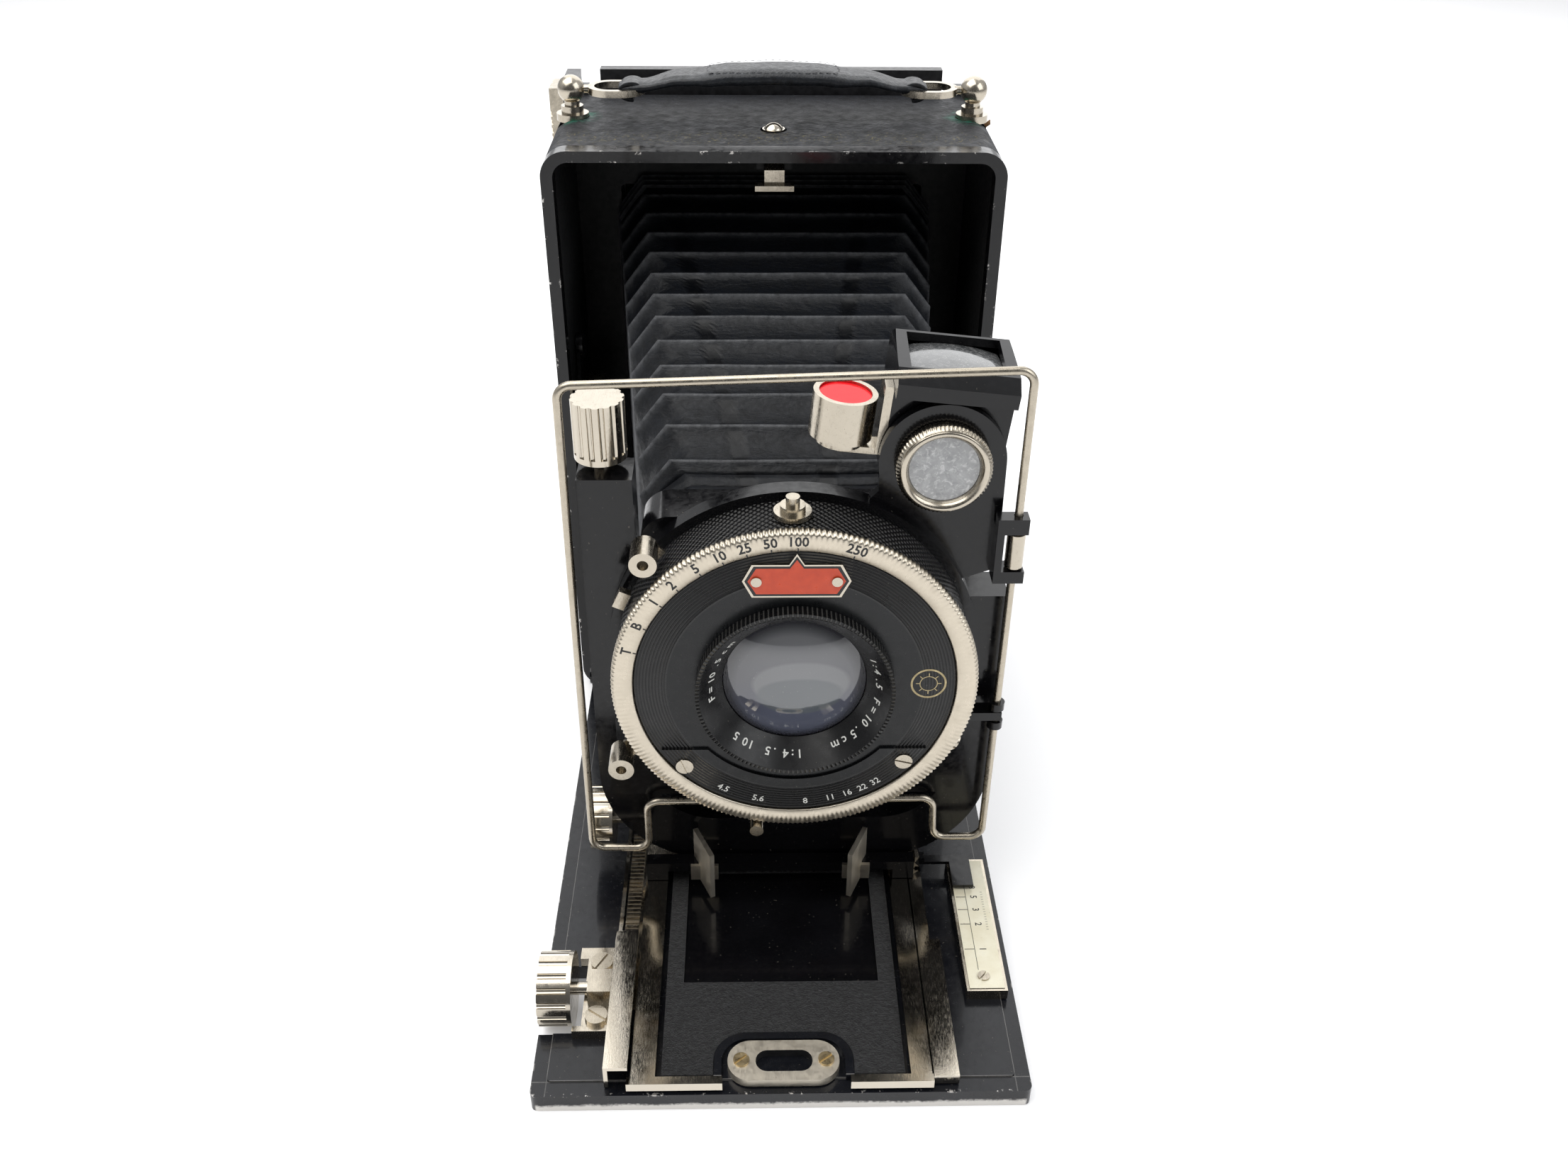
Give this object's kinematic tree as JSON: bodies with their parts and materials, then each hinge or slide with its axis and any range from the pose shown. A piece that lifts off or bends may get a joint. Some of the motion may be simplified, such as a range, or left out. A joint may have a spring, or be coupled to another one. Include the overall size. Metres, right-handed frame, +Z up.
{
  "type": "folding plate camera",
  "caption": "Folding view camera for plates, open on its drop bed: leather bellows, rising and shifting front, rim-set shutter, wire frame finder, reflex finder, ground-glass back.",
  "frame": {"origin": "on the surface the open bed lies on, below the front rim plane of the body, midway between the body sides", "axes": "+X to the right seen from the lens side, +Y from the lens towards the focusing back, +Z up"},
  "size_m": [0.0914, 0.1705, 0.1343],
  "materials": {
    "black_enamel": "gloss black enamel",
    "leather": "grained black leather",
    "nickel": "aged nickel plate",
    "suede": "matt black suede",
    "ivory": "ivory celluloid in a nickel frame",
    "ground_glass": "matt one side",
    "lens_glass": "clear, bluish coating",
    "blade_steel": "dark satin",
    "red_enamel": "orange-red",
    "mirror": "silvered",
    "bellows_leather": "thin black bellows leather"
  },
  "bodies": {
    "body": {"front_rim": "black_enamel", "body_shell": "black_enamel", "body_leather": "leather", "tripod_bushes": "nickel", "handle_lugs": "nickel", "bed_struts": "nickel", "back_rails": "black_enamel", "bed_plate": "black_enamel", "bed_leather": "leather", "bed_hinge_pin": "nickel", "bed_insert": "suede", "bed_guides": "nickel", "knob_bracket": "nickel", "bed_screws": "nickel", "catch_plate": "nickel", "distance_scale": "ivory", "bellows": "bellows_leather"},
    "release_button": {"release_button": "nickel", "bed_catch": "nickel"},
    "handle": {"handle_strap": "leather", "handle_rings": "nickel"},
    "back": {"focusing_back": "black_enamel", "ground_glass": "ground_glass", "focusing_hood": "black_enamel"},
    "hood_cover": {"hood_cover": "leather"},
    "back_lock": {"back_lock": "nickel"},
    "track": {"focus_track": "nickel"},
    "focus_knob": {"focus_knob": "nickel"},
    "carriage": {"carriage_base": "black_enamel", "carriage_bar": "nickel"},
    "standard": {"standard_frame": "black_enamel", "standard_foot": "black_enamel"},
    "shift_knob": {"shift_knob": "nickel"},
    "rise_knob": {"rise_knob": "nickel"},
    "lens_unit": {"lens_board": "black_enamel", "wire_bracket": "black_enamel", "shutter_housing": "black_enamel", "shutter_face": "black_enamel", "dial_fasteners": "nickel", "index_plate": "red_enamel", "lens_barrel": "black_enamel", "lens_elements": "lens_glass", "shutter_blades": "blade_steel", "rear_cell": "black_enamel", "housing_studs": "nickel"},
    "speed_ring": {"speed_ring": "nickel"},
    "cocking_lever": {"cocking_lever": "nickel"},
    "release_lever": {"release_lever": "nickel"},
    "self_timer_lever": {"self_timer_lever": "nickel"},
    "aperture": {"aperture_lever": "nickel", "iris_ring": "blade_steel"},
    "finder": {"finder_body": "black_enamel", "finder_ring": "nickel", "finder_lens": "lens_glass", "finder_mirror": "mirror", "finder_top_glass": "lens_glass", "level_cup": "nickel", "level_vial": "red_enamel"},
    "wire_finder": {"wire_frame": "nickel", "wire_fittings": "nickel"}
  },
  "joints": [
    {"name": "release_press", "type": "slide", "parent": "body", "child": "release_button", "axis": [0, 0, -1], "range_m": [0, 0.0012], "stiffness_N_per_m": 400},
    {"name": "handle_swing", "type": "hinge", "parent": "body", "child": "handle", "pos_m": [0, 0.0245, 0.1297], "axis": [1, 0, 0], "range_deg": [-20, 20]},
    {"name": "back_lift", "type": "slide", "parent": "body", "child": "back", "axis": [0, 0, 1], "range_m": [0, 0.118]},
    {"name": "hood_open", "type": "hinge", "parent": "back", "child": "hood_cover", "pos_m": [0, 0.0522, 0.1132], "axis": [1, 0, 0], "range_deg": [0, 100]},
    {"name": "back_lock_slide", "type": "slide", "parent": "body", "child": "back_lock", "axis": [0, 0, 1], "range_m": [-0.002, 0]},
    {"name": "focus_slide", "type": "slide", "parent": "body", "child": "track", "axis": [0, -1, 0], "range_m": [0, 0.034], "deforming": ["bellows"]},
    {"name": "focus_knob_turn", "type": "hinge", "parent": "body", "child": "focus_knob", "pos_m": [-0.035, -0.0958, 0.007], "axis": [-1, 0, 0], "range_deg": [0, 1520]},
    {"name": "carriage_slide", "type": "slide", "parent": "track", "child": "carriage", "axis": [0, -1, 0], "range_m": [-0.083, 0], "deforming": ["bellows"]},
    {"name": "shift_slide", "type": "slide", "parent": "carriage", "child": "standard", "axis": [1, 0, 0], "range_m": [-0.003, 0.003], "deforming": ["bellows"]},
    {"name": "shift_knob_turn", "type": "hinge", "parent": "standard", "child": "shift_knob", "pos_m": [-0.033, -0.0615, 0.0154], "axis": [1, 0, 0], "range_deg": [-725, 725]},
    {"name": "rise_slide", "type": "slide", "parent": "standard", "child": "lens_unit", "axis": [0, 0, 1], "range_m": [-0.002, 0.008], "deforming": ["bellows"]},
    {"name": "rise_knob_turn", "type": "hinge", "parent": "standard", "child": "rise_knob", "pos_m": [-0.0288, -0.061, 0.09], "axis": [0, 0, 1], "range_deg": [-490, 1930]},
    {"name": "speed_ring_turn", "type": "hinge", "parent": "lens_unit", "child": "speed_ring", "pos_m": [0.0024, -0.079, 0.0602], "axis": [0, 1, 0], "range_deg": [-19, 74]},
    {"name": "cocking_turn", "type": "hinge", "parent": "lens_unit", "child": "cocking_lever", "pos_m": [0.0024, -0.075, 0.0602], "axis": [0, 1, 0], "range_deg": [0, 32], "stiffness_Nm_per_rad": 0.02},
    {"name": "release_turn", "type": "hinge", "parent": "lens_unit", "child": "release_lever", "pos_m": [0.0024, -0.075, 0.0602], "axis": [0, 1, 0], "range_deg": [0, 8], "stiffness_Nm_per_rad": 0.05},
    {"name": "self_timer_turn", "type": "hinge", "parent": "lens_unit", "child": "self_timer_lever", "pos_m": [0.0024, -0.0725, 0.0602], "axis": [0, 1, 0], "range_deg": [-4, 5]},
    {"name": "aperture_turn", "type": "hinge", "parent": "lens_unit", "child": "aperture", "pos_m": [0.0024, -0.077, 0.0602], "axis": [0, 1, 0], "range_deg": [-47, 18]},
    {"name": "finder_turn", "type": "hinge", "parent": "lens_unit", "child": "finder", "pos_m": [0.0255, -0.066, 0.0955], "axis": [0, 1, 0], "range_deg": [-6, 84]},
    {"name": "wire_swing", "type": "hinge", "parent": "lens_unit", "child": "wire_finder", "pos_m": [0.038, -0.07, 0.06], "axis": [0, 0, 1], "range_deg": [0, 175]}
  ],
  "couplings": [
    {"joint": "focus_knob_turn", "follows": "focus_slide", "rad_per_m": 769.23},
    {"joint": "shift_knob_turn", "follows": "shift_slide", "rad_per_m": 4188.8},
    {"joint": "rise_knob_turn", "follows": "rise_slide", "rad_per_m": 4188.8}
  ]
}
